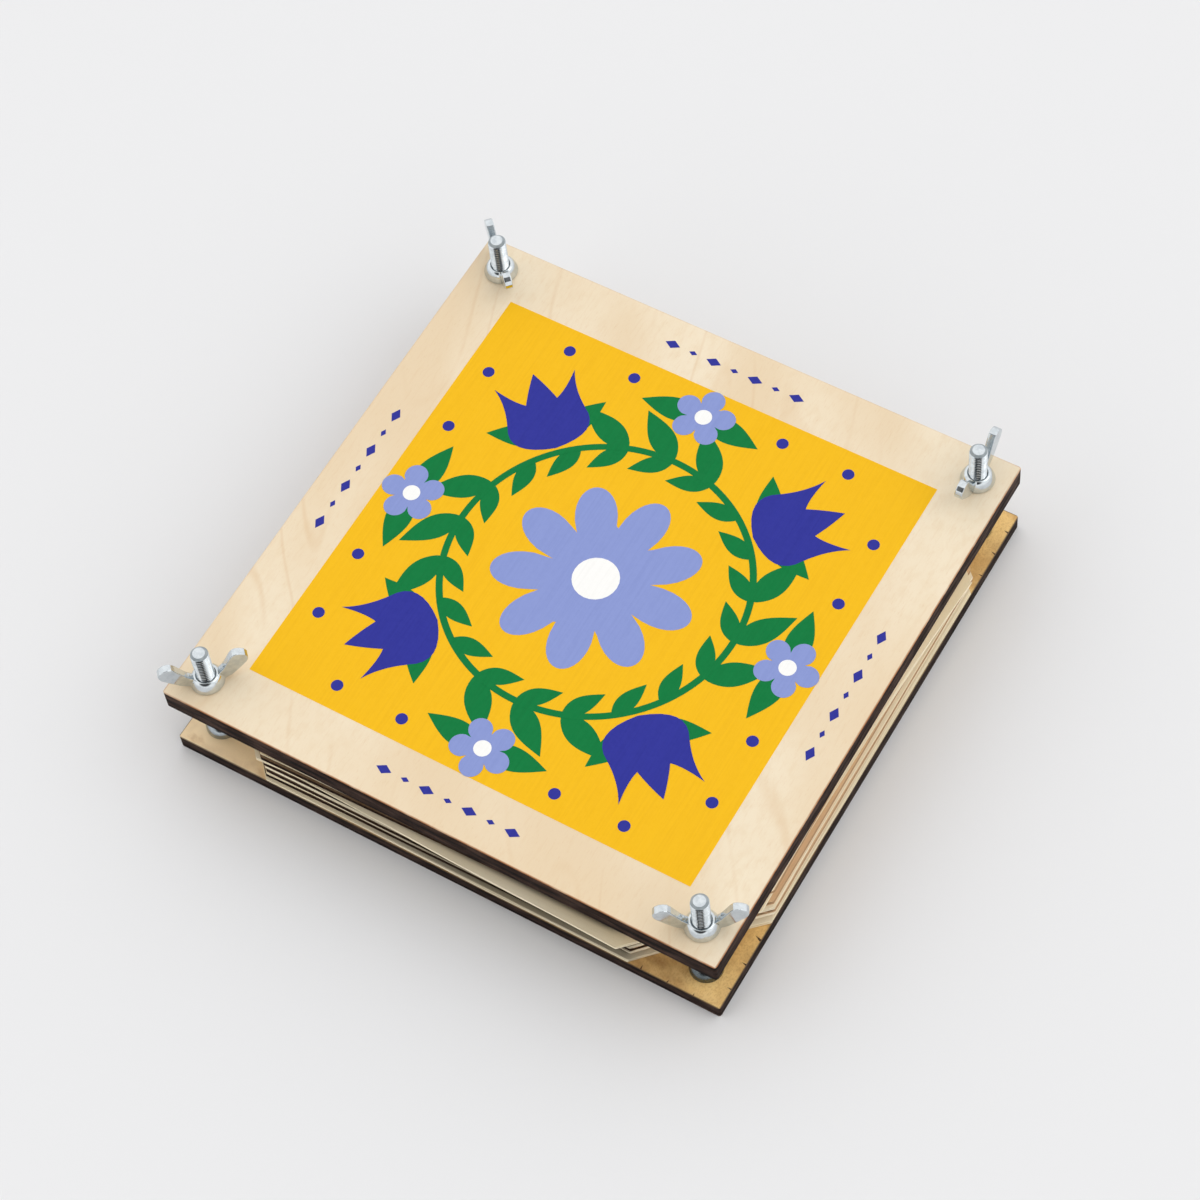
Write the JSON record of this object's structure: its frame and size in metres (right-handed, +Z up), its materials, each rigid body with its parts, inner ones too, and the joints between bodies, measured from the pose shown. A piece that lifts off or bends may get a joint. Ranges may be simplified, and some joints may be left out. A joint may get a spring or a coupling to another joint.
{
  "type": "flower press",
  "caption": "Square plywood flower press: wing nuts on corner bolts pull a printed top board down on a stack of corrugated cards and blotting papers.",
  "frame": {"origin": "middle of the bottom board's underside, on the table", "axes": "+X along the front-left side, +Y along the front-right side, +Z up along the bolts"},
  "size_m": [0.1638, 0.165, 0.0416],
  "materials": {
    "top_board": "bare birch plywood, laser-cut edges",
    "bottom_board": "bare birch plywood, smoke-stained by the laser",
    "bolt_steel": "bright zinc plate",
    "lock_nut_steel": "bright zinc plate",
    "wing_nut_steel": "bright zinc plate",
    "card": "kraft corrugated",
    "paper": "cream blotting paper"
  },
  "bodies": {
    "base": {"bottom_board": "bottom_board", "bolt_front": "bolt_steel", "bolt_left": "bolt_steel", "bolt_right": "bolt_steel", "bolt_rear": "bolt_steel", "lock_nut_front": "lock_nut_steel", "lock_nut_left": "lock_nut_steel", "lock_nut_right": "lock_nut_steel", "lock_nut_rear": "lock_nut_steel", "paper_1": "paper"},
    "lid": {"top_board": "top_board"},
    "layer_1": {"paper_2": "paper", "card_1": "card", "paper_3": "paper"},
    "layer_2": {"paper_4": "paper", "card_2": "card", "paper_5": "paper"},
    "layer_3": {"paper_6": "paper", "card_3": "card", "paper_7": "paper"},
    "layer_4": {"paper_8": "paper", "card_4": "card", "paper_9": "paper"},
    "layer_5": {"paper_10": "paper", "card_5": "card", "paper_11": "paper"},
    "layer_6": {"paper_12": "paper"},
    "nut_front": {"wing_nut_front": "wing_nut_steel"},
    "nut_left": {"wing_nut_left": "wing_nut_steel"},
    "nut_right": {"wing_nut_right": "wing_nut_steel"},
    "nut_rear": {"wing_nut_rear": "wing_nut_steel"}
  },
  "joints": [
    {"name": "lid_lift", "type": "slide", "parent": "base", "child": "lid", "axis": [0, 0, 1], "range_m": [0, 0.009]},
    {"name": "layer_1_lift", "type": "slide", "parent": "base", "child": "layer_1", "axis": [0, 0, 1], "range_m": [0, 0.00129]},
    {"name": "layer_2_lift", "type": "slide", "parent": "base", "child": "layer_2", "axis": [0, 0, 1], "range_m": [0, 0.00257]},
    {"name": "layer_3_lift", "type": "slide", "parent": "base", "child": "layer_3", "axis": [0, 0, 1], "range_m": [0, 0.00386]},
    {"name": "layer_4_lift", "type": "slide", "parent": "base", "child": "layer_4", "axis": [0, 0, 1], "range_m": [0, 0.00514]},
    {"name": "layer_5_lift", "type": "slide", "parent": "base", "child": "layer_5", "axis": [0, 0, 1], "range_m": [0, 0.00643]},
    {"name": "layer_6_lift", "type": "slide", "parent": "base", "child": "layer_6", "axis": [0, 0, 1], "range_m": [0, 0.00772]},
    {"name": "nut_front_turn", "type": "hinge", "parent": "lid", "child": "nut_front", "pos_m": [0.0716, -0.0716, 0.03], "axis": [0, 0, 1], "range_deg": [0, 4050.1]},
    {"name": "nut_left_turn", "type": "hinge", "parent": "lid", "child": "nut_left", "pos_m": [-0.0716, -0.0716, 0.03], "axis": [0, 0, 1], "range_deg": [0, 4050.1]},
    {"name": "nut_right_turn", "type": "hinge", "parent": "lid", "child": "nut_right", "pos_m": [0.0716, 0.0716, 0.03], "axis": [0, 0, 1], "range_deg": [0, 4050.1]},
    {"name": "nut_rear_turn", "type": "hinge", "parent": "lid", "child": "nut_rear", "pos_m": [-0.0716, 0.0716, 0.03], "axis": [0, 0, 1], "range_deg": [0, 4050.1]}
  ],
  "couplings": [
    {"joint": "layer_1_lift", "follows": "lid_lift", "ratio": 0.14286},
    {"joint": "layer_2_lift", "follows": "lid_lift", "ratio": 0.28571},
    {"joint": "layer_3_lift", "follows": "lid_lift", "ratio": 0.42857},
    {"joint": "layer_4_lift", "follows": "lid_lift", "ratio": 0.57143},
    {"joint": "layer_5_lift", "follows": "lid_lift", "ratio": 0.71429},
    {"joint": "layer_6_lift", "follows": "lid_lift", "ratio": 0.85714},
    {"joint": "nut_front_turn", "follows": "lid_lift", "rad_per_m": 7854},
    {"joint": "nut_left_turn", "follows": "lid_lift", "rad_per_m": 7854},
    {"joint": "nut_right_turn", "follows": "lid_lift", "rad_per_m": 7854},
    {"joint": "nut_rear_turn", "follows": "lid_lift", "rad_per_m": 7854}
  ]
}
